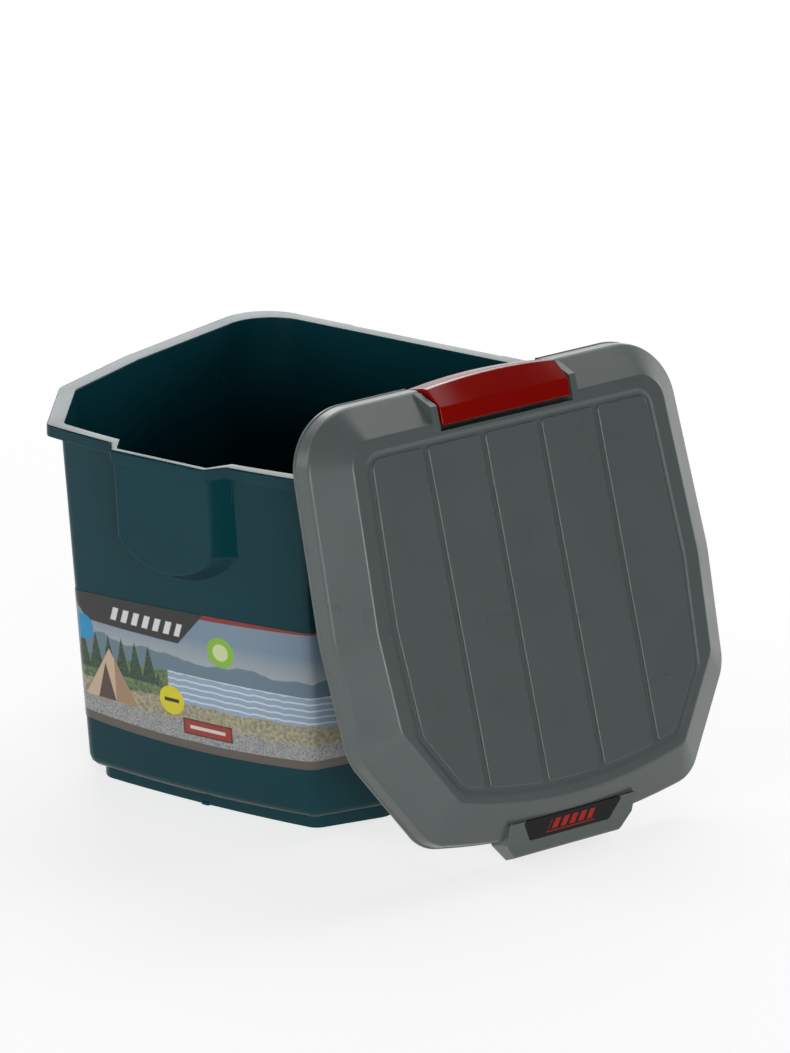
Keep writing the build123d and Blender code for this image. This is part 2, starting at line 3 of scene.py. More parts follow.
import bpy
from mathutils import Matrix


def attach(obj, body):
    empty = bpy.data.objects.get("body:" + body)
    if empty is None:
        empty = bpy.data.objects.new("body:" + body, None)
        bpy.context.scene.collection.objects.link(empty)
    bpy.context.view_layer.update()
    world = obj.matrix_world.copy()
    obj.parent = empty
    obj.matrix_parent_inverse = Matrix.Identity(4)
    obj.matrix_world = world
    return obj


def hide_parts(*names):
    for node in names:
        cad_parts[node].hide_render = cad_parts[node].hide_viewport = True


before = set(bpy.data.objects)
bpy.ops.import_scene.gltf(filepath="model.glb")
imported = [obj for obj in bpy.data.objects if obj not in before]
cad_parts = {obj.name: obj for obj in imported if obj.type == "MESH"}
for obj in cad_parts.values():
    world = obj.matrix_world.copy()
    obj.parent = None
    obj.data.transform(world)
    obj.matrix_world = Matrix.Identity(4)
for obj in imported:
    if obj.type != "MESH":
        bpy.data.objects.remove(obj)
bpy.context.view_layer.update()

from math import cos, pi, radians, sin, tan

import bmesh
import bpy
from bpy.props import FloatProperty, FloatVectorProperty, IntProperty, PointerProperty
from mathutils import Euler, Matrix, Vector

bl_info = {
    "name": "Lidded storage bucket",
    "version": (1, 0, 0),
    "blender": (4, 5, 0),
    "location": "3D View > Sidebar > Bucket",
    "description": "Dresses the packed bucket with its plastics, printed sheet, lid skin, latch and stage",
    "category": "Object",
}

MM = 0.001

# Degrees above which an edge of a new piece stays sharp or is rounded, and how large faces pull normals
SHARP_ANGLE = 32.0
ROUND_ANGLE = 18.0
NODE_ROUND_ANGLE = 38.0
NORMAL_WEIGHT = 80


def linear(hex_value):
    """Scene-linear RGBA of an sRGB colour written as six hex digits."""
    channels = [int(hex_value[place : place + 2], 16) / 255 for place in (0, 2, 4)]
    return (*(c / 12.92 if c <= 0.04045 else ((c + 0.055) / 1.055) ** 2.4 for c in channels), 1.0)


def colour_property(name, description, hex_value):
    """Colour that a user may change, kept in scene-linear values."""
    return FloatVectorProperty(
        name=name, description=description, default=linear(hex_value), subtype="COLOR", size=4, min=0, max=1
    )


def size_property(name, description, millimetres):
    """Length that a user may change, kept in metres."""
    return FloatProperty(
        name=name, description=description, default=millimetres * MM, unit="LENGTH", subtype="DISTANCE", min=0
    )


class BucketColours(bpy.types.PropertyGroup):
    """Colours of the plastics, the printed sheet and the stage."""

    bucket: colour_property("Bucket", "Green of the moulded bucket", "0b4048")
    lid: colour_property("Lid", "Grey of the moulded lid", "5b6462")
    red: colour_property("Latch and bail", "Red of the latch and the bail", "8c0a02")
    plate: colour_property("Plate", "Near-black of the plate on the tab", "0e100f")
    plate_bars: colour_property("Plate bars", "Red of the bars on the plate", "c8281e")
    floor: colour_property("Floor", "Pale floor of the stage", "acacac")


class BucketSizes(bpy.types.PropertyGroup):
    """Sizes of the moulded details."""

    crease_radius: size_property("Crease radius", "Rounding of the lid's outer crease", 5.0)
    plateau_radius: size_property("Plateau radius", "Rounding where the lid's frame meets its plateau", 3.0)
    bead_height: size_property("Bead height", "Height of the bead round the foot of the lid's skirt", 2.3)
    pad_gap: size_property("Pad gap", "Width of the groove between two planks", 4.0)
    pad_corner: size_property("Pad corner", "Corner radius of each plank, seen from above", 2.4)
    pad_round: size_property("Pad rounding", "Rounding of each plank's upper edge", 0.9)
    latch_bow: size_property("Latch bow", "How far the latch's rear wall bows out in its middle", 3.0)
    latch_round: size_property("Latch rounding", "Rounding of the latch's edges", 0.6)
    plank_count: IntProperty(
        name="Planks", description="Number of planks on the lid", default=5, min=1, max=9
    )


# Plan of the lid, seen from above: right-hand corners from front to rear, with the bow of the front edge
LID_CORNERS = (Vector((103.7, -139.3)), Vector((144.2, -74.8)), Vector((149.0, 3.0)), Vector((143.0, 146.0)))
CORNER_STEPS = (7, 7, 3, 14)
BOW_CUTS = 14
ARC_STEPS = 5
RIM_RADII = Vector((22.0, 30.0, 80.0, 40.0))
PLATEAU_RADII = Vector((9.0, 12.0, 70.0, 17.0))
RIM_BOW = 11.0
PLATEAU_BOW = 12.5

# Depth of the plastic's sink waves and distance between the pits of the mould's spark grain
SINK_DEPTH = 0.02
GRAIN_PITCH = 0.9

# Heights and insets of the lid in its own frame, with z = 0 at the foot of its skirt
PLATEAU_Z = 34.7
CREASE_INSET = 2.0
PLATEAU_INSET = 21.0
PLATEAU_EXTRA = Vector((2.5, 3.0, 0.0, 0.0))
GROOVE_Z = 33.7
PAD_TOP_Z = 35.5
PANEL_INSETS = Vector((33.3, 33.5, 35.3, 33.5))
PANEL_RADII = Vector((8.0, 9.0, 80.0, 7.0))
PANEL_BOW = 11.0
PLANK_PITCH = 45.0
PAD_SINK = 0.4
PAD_CORNER_ANGLE = 50.0
LID_WALL = 2.4

# The printed sheet: where it folds round the bucket's corners, and its lower edge
LABEL_CORNER = 93.4
LABEL_FOLD = 0.5146
LABEL_LOW = 47.0
LABEL_SAG = 3.5
LABEL_SPAN = 105.0
STRIP_HEIGHT = 6.0

# The latch's well and its housings. Outlines are (y, z) pairs
WELL_HALF_WIDTH = 52.5
HOUSING_THICKNESS = 5.0
WELL_Y = 119.8
WELL_FLOOR = 16.0
WELL_BACK_Y = 143.6
BACK_WALL_Z = 8.0
HOUSING_OUTLINE = ((118.0, 14.0), (118.0, PLATEAU_Z), (136.5, PLATEAU_Z), (145.5, 19.0), (145.5, 14.0))
BEYOND = 170.0

# The tab over the spout: its widths, and where its flanks begin to close in on the nose
TAB_HALF_WIDTH = 50.5
TAB_NOSE_HALF_WIDTH = 41.0
TAB_NOSE_Y = -164.2
TAB_FLANK_Y = -152.0
TAB_ROOT_Y = -139.0

# Ribs under the lid
RIB_LOW_Z = 1.0
RIB_HIGH_Z = 50.0
RIB_HALF_THICKNESS = 1.0
RIB_COLUMNS = 5
RIB_COLUMN_PITCH = 54.0
RIB_ROWS = 6
RIB_ROW_PITCH = 43.0
RIB_MIDDLE_Y = 5.5

# The latch: its cover and its end plates as (y, z) outlines, and the pins that it turns on
LATCH_HALF_WIDTH = 51.0
COVER_OUTLINE = (
    (123.4, 32.7),
    (123.4, 35.5),
    (134.6, 35.6),
    (147.0, 24.6),
    (148.0, 19.0),
    (148.0, 1.3),
    (142.9, 1.3),
    (142.9, 4.6),
    (145.0, 5.2),
    (145.0, 19.0),
    (144.2, 22.8),
    (133.6, 32.5),
)
COVER_CUTS = 15
BOW_START_Y = 137.0
BOW_FULL_LENGTH = 8.0
CHEEK_OUTLINE = ((125.0, 33.5), (134.0, 34.0), (145.5, 24.0), (145.5, 14.0), (137.5, 22.5), (130.5, 22.5))
CHEEK_HALF_THICKNESS = 1.25
CHEEK_INSET = 1.6
PIN_PLACE = (134.0, 27.0)
PIN_RADIUS = 2.6
PIN_LENGTH = 5.4
PIN_OUTSET = 0.4

# Soft lights: name, place, target, size across and up, and watts
SOFTBOXES = (
    ("top_softbox", (-0.3, 0.9, 1.9), (0.05, 0.0, 0.15), (1.6, 1.2), 15),
    ("left_softbox", (-1.9, -1.1, 0.8), (0.0, 0.0, 0.15), (1.0, 1.0), 9),
    ("front_softbox", (0.0, -2.4, 0.6), (0.05, 0.0, 0.15), (1.2, 0.8), 13),
    ("right_softbox", (2.1, -1.7, 0.62), (0.1, 0.0, 0.15), (1.3, 1.1), 29),
    ("back_softbox", (-1.7, 2.4, 1.1), (0.0, 0.0, 0.25), (2.2, 0.9), 17),
    ("rear_right_softbox", (1.1, 2.3, 0.8), (0.1, 0.0, 0.2), (0.9, 0.9), 16),
)
FLOOR_HALF_SIZE = 12.0
FLOOR_LIFT = 0.72
AIR_COLOUR = (0.9, 0.95, 1.0, 1.0)
AIR_STRENGTH = 0.07

# Camera: the photograph's viewing angle, with a long lens
CAMERA_TARGET = Vector((0.0928, -0.0262, 0.1869))
CAMERA_DISTANCE = 4.925
CAMERA_AZIMUTH = 0.611
CAMERA_ELEVATION = 0.3322
CAMERA_ROLL = -0.0071
CAMERA_LENS = 343.2

# Place of the leaning lid: its own frame seen from the part's frame
LID_PLACE = (
    Matrix.Translation((188.89, -32.9311, 157.661))
    @ Matrix.Rotation(radians(70.2), 4, "Z")
    @ Matrix.Rotation(radians(73.0), 4, "X")
    @ Matrix.Rotation(radians(0.5), 4, "Z")
)


def add_node(tree, kind, inputs=None, **settings):
    """Adds a node, sets its properties and fills its inputs with values or links."""
    node = tree.nodes.new(kind)
    for name, value in settings.items():
        setattr(node, name, value)
    for socket, value in (inputs or {}).items():
        if isinstance(value, bpy.types.NodeSocket):
            tree.links.new(value, node.inputs[socket])
        else:
            node.inputs[socket].default_value = value
    return node


def moulded_plastic(name, colour, roughness, mottle=0.03, sheen=0.5, grain_depth_mm=0.0):
    """Injection-moulded polypropylene: an even colour with a faint flow mottle, long shallow sink waves, and
    the fine spark grain of the mould where grain_depth_mm is above zero. The waves break up reflections, so
    that the eye reads thick soft plastic and not glass."""
    material = bpy.data.materials.new(name)
    material.use_nodes = True
    tree = material.node_tree
    shader = tree.nodes["Principled BSDF"]
    place = add_node(tree, "ShaderNodeTexCoord").outputs["Object"]
    # Flow marks about 70 mm long, scuffs about 30 mm long and sink waves about 60 mm long
    mottling = add_node(tree, "ShaderNodeTexNoise", {"Vector": place, "Scale": 1000 / 70, "Detail": 3.0})
    shade = add_node(
        tree,
        "ShaderNodeMapRange",
        {
            "Value": mottling.outputs["Fac"],
            "From Min": 0.3,
            "From Max": 0.7,
            "To Min": 1 - mottle,
            "To Max": 1 + mottle,
        },
        clamp=False,
    )
    tint = add_node(
        tree, "ShaderNodeVectorMath", {0: colour[:3], "Scale": shade.outputs["Result"]}, operation="SCALE"
    )
    tree.links.new(tint.outputs["Vector"], shader.inputs["Base Color"])
    scuffs = add_node(tree, "ShaderNodeTexNoise", {"Vector": place, "Scale": 1000 / 30, "Detail": 1.0})
    rough = add_node(
        tree,
        "ShaderNodeMapRange",
        {
            "Value": scuffs.outputs["Fac"],
            "From Min": 0.3,
            "From Max": 0.7,
            "To Min": roughness - 0.03,
            "To Max": roughness + 0.03,
        },
        clamp=False,
    )
    tree.links.new(rough.outputs["Result"], shader.inputs["Roughness"])
    waves = add_node(tree, "ShaderNodeTexNoise", {"Vector": place, "Scale": 1000 / 60, "Detail": 0.0})
    normal = add_node(
        tree,
        "ShaderNodeBump",
        {"Height": waves.outputs["Fac"], "Strength": 1.0, "Distance": SINK_DEPTH * MM},
    ).outputs["Normal"]
    if grain_depth_mm > 0:
        grain = add_node(
            tree,
            "ShaderNodeTexNoise",
            {"Vector": place, "Scale": 1000 / GRAIN_PITCH, "Detail": 2.0, "Roughness": 0.6},
        )
        normal = add_node(
            tree,
            "ShaderNodeBump",
            {
                "Height": grain.outputs["Fac"],
                "Strength": 1.0,
                "Distance": grain_depth_mm * MM,
                "Normal": normal,
            },
        ).outputs["Normal"]
    tree.links.new(normal, shader.inputs["Normal"])
    shader.inputs["IOR"].default_value = 1.49
    shader.inputs["Specular IOR Level"].default_value = sheen
    return material


def plan_corners(insets):
    """Right-hand corners of the plan, with front, chamfer, sides and rear each moved in by its own inset."""
    outline = [Vector((-LID_CORNERS[0].x, LID_CORNERS[0].y)), *LID_CORNERS]
    outline.append(Vector((-LID_CORNERS[3].x, LID_CORNERS[3].y)))
    front, chamfer, side, rear = insets
    edges = []
    for start, end, inset in zip(outline, outline[1:], (front, chamfer, side, side, rear)):
        along = (end - start).normalized()
        edges.append((start + Vector((-along.y, along.x)) * inset, along))
    corners = []
    for (point, along), (other, other_along) in zip(edges, edges[1:]):
        between = other - point
        spread = along.x * other_along.y - along.y * other_along.x
        corners.append(point + along * ((between.x * other_along.y - between.y * other_along.x) / spread))
    return corners


def corner_turn(before, corner, after):
    """Angle by which the outline turns at a corner."""
    return (corner - before).angle(after - corner)


def plan_ring(insets, radii, z, bow):
    """Points round the plan at height z: bowed front edge and rounded corners."""
    right = plan_corners(insets)
    left = [Vector((-corner.x, corner.y)) for corner in reversed(right)]
    ring = bmesh.new()
    corners = [ring.verts.new((point.x, point.y, z)) for point in right + left]
    ring.faces.new(corners)
    front_edge = ring.edges.get((corners[-1], corners[0]))
    cut = bmesh.ops.subdivide_edges(ring, edges=[front_edge], cuts=BOW_CUTS)
    half_width = right[0].x
    for vertex in added(cut["geom_inner"], bmesh.types.BMVert):
        vertex.co.y -= bow * (1 - (vertex.co.x / half_width) ** 2)
    for place, (radius, steps) in enumerate(zip(radii, CORNER_STEPS)):
        pair = [
            min(ring.verts, key=lambda vertex: (vertex.co.xy - point).length)
            for point in (right[place], left[3 - place])
        ]
        before = right[place - 1] if place else Vector((0, right[0].y - 2 * bow))
        after = right[place + 1] if place < 3 else Vector((-right[3].x, right[3].y))
        offset = radius * tan(corner_turn(before, right[place], after) / 2)
        bmesh.ops.bevel(
            ring,
            geom=pair,
            offset=offset,
            offset_type="OFFSET",
            segments=steps,
            profile=0.5,
            affect="VERTICES",
            material=-1,
        )
    ring.faces.ensure_lookup_table()
    points = [vertex.co.copy() for vertex in ring.faces[0].verts]
    ring.free()
    return points


def frame_ring(inset, z):
    """Ring of the lid's frame, whose form goes over from the rim's to the plateau's as the inset grows."""
    share = min(max((inset - CREASE_INSET) / (PLATEAU_INSET - CREASE_INSET), 0.0), 1.0)
    insets = Vector((inset,) * 4) + PLATEAU_EXTRA * share
    radii = RIM_RADII.lerp(PLATEAU_RADII, min(max(inset / PLATEAU_INSET, -0.2), 1.0))
    return plan_ring(insets, radii, z, RIM_BOW + (PLATEAU_BOW - RIM_BOW) * share)


def panel_ring(grow, z):
    """Ring that follows the planked panel, grown outwards by an amount."""
    growth = Vector((grow,) * 4)
    return plan_ring(PANEL_INSETS - growth, PANEL_RADII + growth, z, PANEL_BOW)


def round_profile(points):
    """Open line through points of the form (inset, z, radius), with an arc where the radius isn't zero."""
    line = []
    for place, (inset, z, radius) in enumerate(points):
        corner = Vector((inset, z))
        if radius == 0:
            line.append(corner)
            continue
        back = (Vector(points[place - 1][:2]) - corner).normalized()
        ahead = (Vector(points[place + 1][:2]) - corner).normalized()
        half = back.angle(ahead) / 2
        centre = corner + (back + ahead).normalized() * radius / sin(half)
        first = corner + back * radius / tan(half) - centre
        last = corner + ahead * radius / tan(half) - centre
        for step in range(ARC_STEPS + 1):
            spoke = first.lerp(last, step / ARC_STEPS).normalized() * radius
            line.append(centre + spoke)
    return line


def added(drawn, kind):
    """The vertices or the edges among what an operator has made."""
    return [item for item in drawn if isinstance(item, kind)]


def skin(mesh, rings):
    """Closed skin through a stack of rings: the lowest ring is extruded, and moved to each ring in turn."""
    edges = mesh.faces.new([mesh.verts.new(point) for point in rings[0]]).edges[:]
    for low, high in zip(rings, rings[1:]):
        goals = {tuple(point): goal for point, goal in zip(low, high)}
        drawn = bmesh.ops.extrude_edge_only(mesh, edges=edges)["geom"]
        moved = set(added(drawn, bmesh.types.BMVert))
        edges = [edge for edge in added(drawn, bmesh.types.BMEdge) if moved.issuperset(edge.verts)]
        for vertex in moved:
            vertex.co = goals[tuple(vertex.co)]
    bmesh.ops.edgeloop_fill(mesh, edges=edges)
    bmesh.ops.recalc_face_normals(mesh, faces=mesh.faces[:])


def solid(name, mesh):
    """Object of a bmesh in millimetres, linked to the scene."""
    data = bpy.data.meshes.new(name)
    mesh.to_mesh(data)
    mesh.free()
    shape = bpy.data.objects.new(name, data)
    bpy.context.scene.collection.objects.link(shape)
    return shape


def ring_solid(name, rings):
    """Closed solid through a stack of rings."""
    mesh = bmesh.new()
    skin(mesh, rings)
    return solid(name, mesh)


def box_solid(name, low, high):
    """Box between two corners."""
    mesh = bmesh.new()
    low, high = Vector(low), Vector(high)
    size = high - low
    place = Matrix.Translation((low + high) / 2) @ Matrix.Diagonal((*size, 1.0))
    bmesh.ops.create_cube(mesh, size=1.0, matrix=place)
    return solid(name, mesh)


def prism_solid(name, outline, half_width):
    """Outline in the YZ plane, drawn out along X to both sides."""
    mesh = bmesh.new()
    corners = [mesh.verts.new((-half_width, y, z)) for y, z in outline]
    face = mesh.faces.new(corners)
    drawn = bmesh.ops.extrude_face_region(mesh, geom=[face])
    moved = added(drawn["geom"], bmesh.types.BMVert)
    bmesh.ops.translate(mesh, verts=moved, vec=(2 * half_width, 0, 0))
    bmesh.ops.recalc_face_normals(mesh, faces=mesh.faces[:])
    return solid(name, mesh)


def combine(shape, other, operation):
    """Joins, cuts or crosses one solid with another and removes the other."""
    modifier = shape.modifiers.new("combine", "BOOLEAN")
    modifier.object = other
    modifier.operation = operation
    modifier.solver = "EXACT"
    modifier.material_mode = "INDEX"
    bpy.context.view_layer.update()
    graph = bpy.context.evaluated_depsgraph_get()
    result = bpy.data.meshes.new_from_object(shape.evaluated_get(graph))
    if len(result.polygons) == 0:
        raise RuntimeError(f"{shape.name} has nothing left after {operation} with {other.name}")
    shape.modifiers.clear()
    shape.data = result
    bpy.data.objects.remove(other)


def finish_piece(piece, body, materials):
    """Moves a lid piece from millimetres to its place, smooths it between sharp edges and lets it ride."""
    piece.data.transform(Matrix.Scale(MM, 4) @ LID_PLACE)
    piece.data.materials.clear()
    for material in materials:
        piece.data.materials.append(material)
    mesh = bmesh.new()
    mesh.from_mesh(piece.data)
    bmesh.ops.remove_doubles(mesh, verts=mesh.verts[:], dist=0.01 * MM)
    bmesh.ops.dissolve_degenerate(mesh, edges=mesh.edges[:], dist=0.005 * MM)
    bmesh.ops.recalc_face_normals(mesh, faces=mesh.faces[:])
    for edge in mesh.edges:
        edge.smooth = len(edge.link_faces) == 2 and edge.calc_face_angle(0.0) < radians(SHARP_ANGLE)
    for face in mesh.faces:
        face.smooth = True
    mesh.to_mesh(piece.data)
    mesh.free()
    weigh = piece.modifiers.new("weighted normals", "WEIGHTED_NORMAL")
    weigh.keep_sharp = True
    weigh.weight = NORMAL_WEIGHT
    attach(piece, body)


def lid_outer_solid(sizes):
    """Closed outer form of the lid: bead, skirt, round crease, sloping frame, plateau and groove floor."""
    bead = sizes.bead_height / MM
    crease = sizes.crease_radius / MM
    profile = round_profile(
        [
            (-2.5, 0.0, 0),
            (-2.9, 0.4, 0),
            (-2.9, bead, 0.3),
            (-2.2, bead + 0.5, 0.25),
            (-1.2, 15.6, crease),
            (PLATEAU_INSET, PLATEAU_Z, sizes.plateau_radius / MM),
            (23.5, PLATEAU_Z, 0),
        ]
    )
    rings = [frame_ring(point.x, point.y) for point in profile]
    falls = ((5.4, 0.0), (4.9, 0.05), (4.2, 0.25), (3.5, 0.55), (2.8, 0.8), (2.1, 0.95), (1.2, 1.0))
    rings += [panel_ring(grow, PLATEAU_Z - fall) for grow, fall in falls]
    return ring_solid("lid_shell", rings)


class BUCKET_OT_lid(bpy.types.Operator):
    """Builds the lid: moulded skin, planks, latch housings, tab and the ribs underneath"""

    bl_idname = "bucket.lid"
    bl_label = "Lid"

    def execute(self, context):
        sizes = context.scene.bucket_sizes
        colours = context.scene.bucket_colours
        lid = lid_outer_solid(sizes)
        combine(lid, prism_solid("housing", HOUSING_OUTLINE, WELL_HALF_WIDTH + HOUSING_THICKNESS), "UNION")
        combine(lid, lid_tab(0.0), "UNION")
        far_corner = (WELL_HALF_WIDTH, BEYOND, 2 * PLATEAU_Z)
        combine(lid, box_solid("well", (-WELL_HALF_WIDTH, WELL_Y, WELL_FLOOR), far_corner), "DIFFERENCE")
        combine(lid, box_solid("back", (-WELL_HALF_WIDTH, WELL_BACK_Y, -10), far_corner), "DIFFERENCE")
        combine(lid, lid_hollow(), "DIFFERENCE")
        join_into(lid, plank_pads(sizes))
        smooth_grey = moulded_plastic("moulded_polypropylene_grey", colours.lid, 0.3)
        grained_grey = moulded_plastic(
            "spark_grained_polypropylene_grey", colours.lid, 0.5, mottle=0.04, grain_depth_mm=0.05
        )
        finish_piece(lid, "lid", [smooth_grey, grained_grey])
        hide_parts("lid")
        return {"FINISHED"}


def cut_away(mesh, point, outward):
    """Cuts a mesh with the plane through a point and removes what lies outward of it."""
    return bmesh.ops.bisect_plane(
        mesh,
        geom=mesh.verts[:] + mesh.edges[:] + mesh.faces[:],
        plane_co=point,
        plane_no=outward,
        clear_outer=True,
    )


def lid_tab(amount):
    """Tab over the spout: a sloping top that rounds down at the nose, moved in by an amount."""
    drop = amount * 1.2
    outline = round_profile(
        [
            (TAB_ROOT_Y, 2.0, 0),
            (TAB_NOSE_Y + amount, 0.0, 0),
            (-162.6 + amount, 12.5 - drop, 4.0),
            (-153.0, 17.6 - drop, 3.0),
            (TAB_ROOT_Y, 26.6 - drop, 0),
        ]
    )
    tab = prism_solid("tab", outline, TAB_HALF_WIDTH - amount)
    mesh = bmesh.new()
    mesh.from_mesh(tab.data)
    for side in (1, -1):
        root = Vector((side * (TAB_HALF_WIDTH - amount), TAB_FLANK_Y, 0))
        tip = Vector((side * (TAB_NOSE_HALF_WIDTH - amount), TAB_NOSE_Y + amount, 0))
        along = tip - root
        cut = cut_away(mesh, root, Vector((-along.y, along.x, 0)) * side)
        bmesh.ops.edgeloop_fill(mesh, edges=added(cut["geom_cut"], bmesh.types.BMEdge))
    bmesh.ops.recalc_face_normals(mesh, faces=mesh.faces[:])
    mesh.to_mesh(tab.data)
    mesh.free()
    return tab


def lid_hollow():
    """Everything under the lid that is open, apart from the walls round the latch's well and the ribs."""
    profile = [(-0.5, -1.0), (0.2, 14.5), (3.0, 16.6), (22.0, 32.2)]
    hollow = ring_solid("hollow", [frame_ring(inset, z) for inset, z in profile])
    combine(hollow, lid_tab(LID_WALL * 0.9), "UNION")
    wide = WELL_HALF_WIDTH + HOUSING_THICKNESS
    far_corner = (wide, BEYOND, 2 * PLATEAU_Z)
    for near_y, low_z in ((WELL_Y, WELL_FLOOR - LID_WALL), (WELL_BACK_Y, BACK_WALL_Z)):
        keep = box_solid("keep", (-wide, near_y - LID_WALL, low_z), far_corner)
        combine(hollow, keep, "DIFFERENCE")
    for column in range(RIB_COLUMNS):
        x = RIB_COLUMN_PITCH * (column - (RIB_COLUMNS - 1) / 2)
        cut_rib(hollow, (x - RIB_HALF_THICKNESS, -BEYOND), (x + RIB_HALF_THICKNESS, BEYOND))
    for row in range(RIB_ROWS):
        y = RIB_MIDDLE_Y + RIB_ROW_PITCH * (row - (RIB_ROWS - 1) / 2)
        cut_rib(hollow, (-BEYOND, y - RIB_HALF_THICKNESS), (BEYOND, y + RIB_HALF_THICKNESS))
    return hollow


def cut_rib(hollow, low, high):
    """Takes a rib between two corners out of the hollow, so that it stays on the lid."""
    combine(hollow, box_solid("rib", (*low, RIB_LOW_Z), (*high, RIB_HIGH_Z)), "DIFFERENCE")


def bevel(mesh, items, offset, segments, kind):
    """Rounds edges or corners of a bmesh."""
    bmesh.ops.bevel(
        mesh, geom=items, offset=offset, segments=segments, profile=0.5, affect=kind, material=-1
    )


def plank_pads(sizes):
    """Raised planks: strips of the panel's outline with round corners and a rounded upper edge."""
    pads = bmesh.new()
    gap = sizes.pad_gap / MM / 2
    count = sizes.plank_count
    limits = [(place - count / 2) * PLANK_PITCH for place in range(count + 1)]
    for place, (left, right) in enumerate(zip(limits, limits[1:])):
        pad = bmesh.new()
        outline = [pad.verts.new(point) for point in panel_ring(0.0, GROOVE_Z - PAD_SINK)]
        pad.faces.new(outline)
        for limit, side, edge in ((left + gap, -1, place > 0), (right - gap, 1, place < count - 1)):
            if edge:
                cut_away(pad, (limit, 0, 0), (side, 0, 0))
        sharp = [
            vertex
            for vertex in pad.verts
            if len(vertex.link_edges) == 2 and abs(vertex.calc_edge_angle(0.0)) > radians(PAD_CORNER_ANGLE)
        ]
        bevel(pad, sharp, sizes.pad_corner / MM, 5, "VERTICES")
        drawn = bmesh.ops.extrude_face_region(pad, geom=pad.faces[:])
        top = added(drawn["geom"], bmesh.types.BMVert)
        bmesh.ops.translate(pad, verts=top, vec=(0, 0, PAD_TOP_Z - GROOVE_Z + PAD_SINK))
        upper = [edge for edge in pad.edges if all(abs(v.co.z - PAD_TOP_Z) < 1e-4 for v in edge.verts)]
        bevel(pad, upper, sizes.pad_round / MM, 3, "EDGES")
        for face in pad.faces:
            face.material_index = 1
        bmesh.ops.recalc_face_normals(pad, faces=pad.faces[:])
        holder = bpy.data.meshes.new("pad")
        pad.to_mesh(holder)
        pad.free()
        pads.from_mesh(holder)
        bpy.data.meshes.remove(holder)
    return solid("pads", pads)


def join_into(shape, other):
    """Adds the mesh of another shape to a shape and removes the other."""
    mesh = bmesh.new()
    mesh.from_mesh(shape.data)
    mesh.from_mesh(other.data)
    bpy.data.objects.remove(other)
    mesh.to_mesh(shape.data)
    mesh.free()


def latch_cover(sizes):
    """Cover of the latch: a lip, a folded face and a rear wall with its hook, bowed in the middle."""
    cover = prism_solid("latch_cover", COVER_OUTLINE, LATCH_HALF_WIDTH)
    mesh = bmesh.new()
    mesh.from_mesh(cover.data)
    lengthwise = [edge for edge in mesh.edges if edge.calc_length() > LATCH_HALF_WIDTH]
    bmesh.ops.subdivide_edges(mesh, edges=lengthwise, cuts=COVER_CUTS, use_grid_fill=True)
    for vertex in mesh.verts:
        share = min(max((vertex.co.y - BOW_START_Y) / BOW_FULL_LENGTH, 0.0), 1.0)
        vertex.co.y += sizes.latch_bow / MM * share * (1 - (vertex.co.x / LATCH_HALF_WIDTH) ** 2)
    sharp = [edge for edge in mesh.edges if edge.calc_face_angle(0.0) > radians(ROUND_ANGLE)]
    bmesh.ops.bevel(
        mesh,
        geom=sharp,
        offset=sizes.latch_round / MM,
        segments=3,
        profile=0.5,
        affect="EDGES",
        clamp_overlap=True,
        material=-1,
    )
    mesh.to_mesh(cover.data)
    mesh.free()
    return cover


def latch_cheeks():
    """End plates of the latch with the pins that it turns on."""
    cheeks = []
    for side in (1, -1):
        cheek = prism_solid("cheek", CHEEK_OUTLINE, CHEEK_HALF_THICKNESS)
        cheek.data.transform(Matrix.Translation((side * (LATCH_HALF_WIDTH - CHEEK_INSET), 0, 0)))
        mesh = bmesh.new()
        place = Matrix.Translation((side * (LATCH_HALF_WIDTH + PIN_OUTSET), *PIN_PLACE))
        bmesh.ops.create_cone(
            mesh,
            cap_ends=True,
            segments=32,
            radius1=PIN_RADIUS,
            radius2=PIN_RADIUS,
            depth=PIN_LENGTH,
            matrix=place @ Matrix.Rotation(pi / 2, 4, "Y"),
        )
        cheeks += [cheek, solid("pin", mesh)]
    return cheeks


class BUCKET_OT_latch(bpy.types.Operator):
    """Builds the latch: bowed cover with a fold, its hook, end plates and pins"""

    bl_idname = "bucket.latch"
    bl_label = "Latch"

    def execute(self, context):
        latch = latch_cover(context.scene.bucket_sizes)
        latch.name = "latch_shell"
        for piece in latch_cheeks():
            combine(latch, piece, "UNION")
        red = moulded_plastic("moulded_polypropylene_red", context.scene.bucket_colours.red, 0.18, sheen=0.2)
        finish_piece(latch, "latch", [red])
        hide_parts("lid_latch")
        return {"FINISHED"}


class BUCKET_OT_body(bpy.types.Operator):
    """Gives the bucket its green plastic"""

    bl_idname = "bucket.body"
    bl_label = "Bucket"

    def execute(self, context):
        colours = context.scene.bucket_colours
        green = moulded_plastic("moulded_polypropylene_green", colours.bucket, 0.24, mottle=0.04, sheen=0.18)
        dress(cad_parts["bucket_body"], green, 0.7)
        return {"FINISHED"}


def dress(node, material, edge_round=0.0):
    """Gives a CAD node one material, and rounds its sharp edges by edge_round millimetres."""
    node.data.materials.clear()
    node.data.materials.append(material)
    if edge_round == 0:
        return
    weld = node.modifiers.new("weld", "WELD")
    weld.merge_threshold = 0.01 * MM
    rounding = node.modifiers.new("edge rounding", "BEVEL")
    rounding.width = edge_round * MM
    rounding.segments = 2
    rounding.limit_method = "ANGLE"
    rounding.angle_limit = radians(NODE_ROUND_ANGLE)
    rounding.use_clamp_overlap = False
    weigh = node.modifiers.new("weighted normals", "WEIGHTED_NORMAL")
    weigh.weight = NORMAL_WEIGHT


def shape_mask(tree, distance, soft=0.25):
    """1 where a signed distance in millimetres is below zero, with an edge as soft as the print's."""
    return add_node(
        tree,
        "ShaderNodeMapRange",
        {"Value": distance, "From Min": soft, "From Max": -soft, "To Min": 0.0, "To Max": 1.0},
    ).outputs["Result"]


